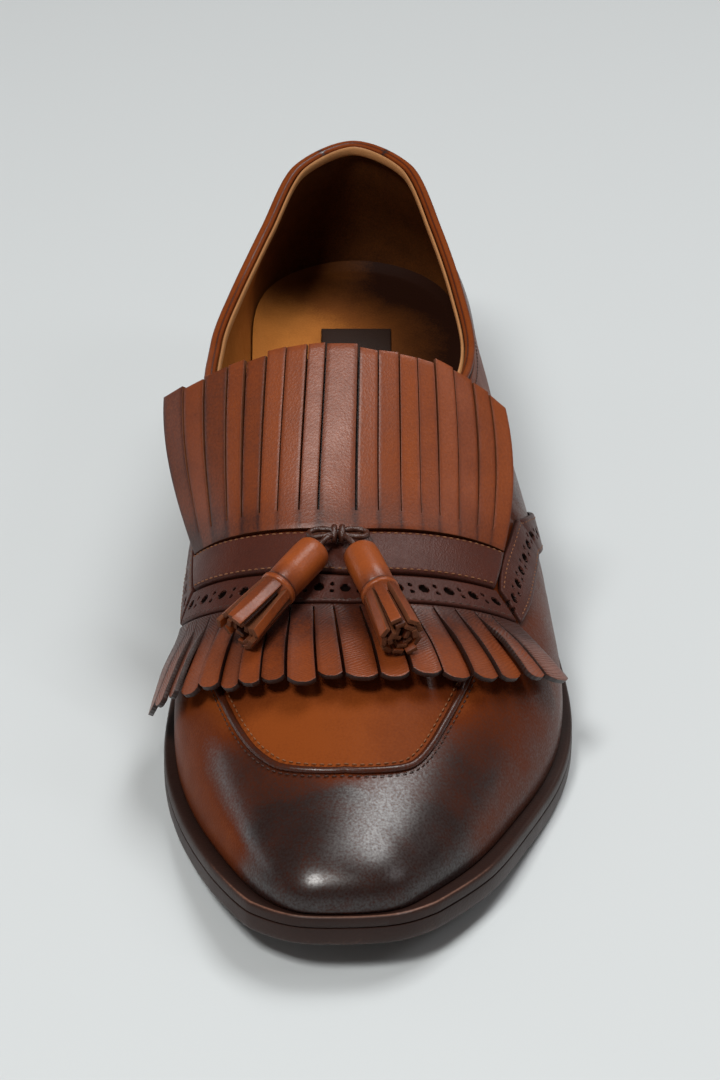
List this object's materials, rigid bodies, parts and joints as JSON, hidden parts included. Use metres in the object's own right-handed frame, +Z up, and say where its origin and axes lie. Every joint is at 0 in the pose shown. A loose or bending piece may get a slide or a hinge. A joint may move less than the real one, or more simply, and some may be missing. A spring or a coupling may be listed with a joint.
{
  "type": "kiltie tassel loafer",
  "caption": "Left kiltie tassel loafer: hollow leather upper, fringed kiltie under a saddle strap, tassels, punched band and wings, welted sole with a stacked heel.",
  "frame": {"origin": "on the floor under the middle of the shoe's box", "axes": "+Y from toe to heel, +X to the outer side of the foot, +Z up"},
  "size_m": [0.1068, 0.2918, 0.0901],
  "materials": {
    "sole_leather": "dark dyed and waxed edge",
    "welt_leather": "dark dyed, satin",
    "lining_leather": "natural tan, matt",
    "lift_rubber": "black, matt",
    "upper_leather": "polished cognac with a dark burnish",
    "saddle_leather": "polished dark brown",
    "fringe_leather": "satin mid-brown with raw tan edges",
    "patch_leather": "plain dark patch"
  },
  "bodies": {
    "root": {"outsole": "sole_leather", "heel_stack": "sole_leather", "welt": "welt_leather", "insole": "lining_leather", "heel_top_lift": "lift_rubber", "upper": "upper_leather", "apron_seam": "upper_leather", "collar_binding": "upper_leather", "saddle_strap": "saddle_leather", "brogue_band_front": "saddle_leather", "brogue_wing_lateral": "saddle_leather", "brogue_wing_medial": "saddle_leather", "heel_tab": "saddle_leather", "kiltie_upper": "fringe_leather", "kiltie_lower": "fringe_leather", "tassel_medial": "fringe_leather", "tassel_lateral": "fringe_leather", "tassel_knot": "fringe_leather", "sock_label": "patch_leather"}
  },
  "joints": []
}
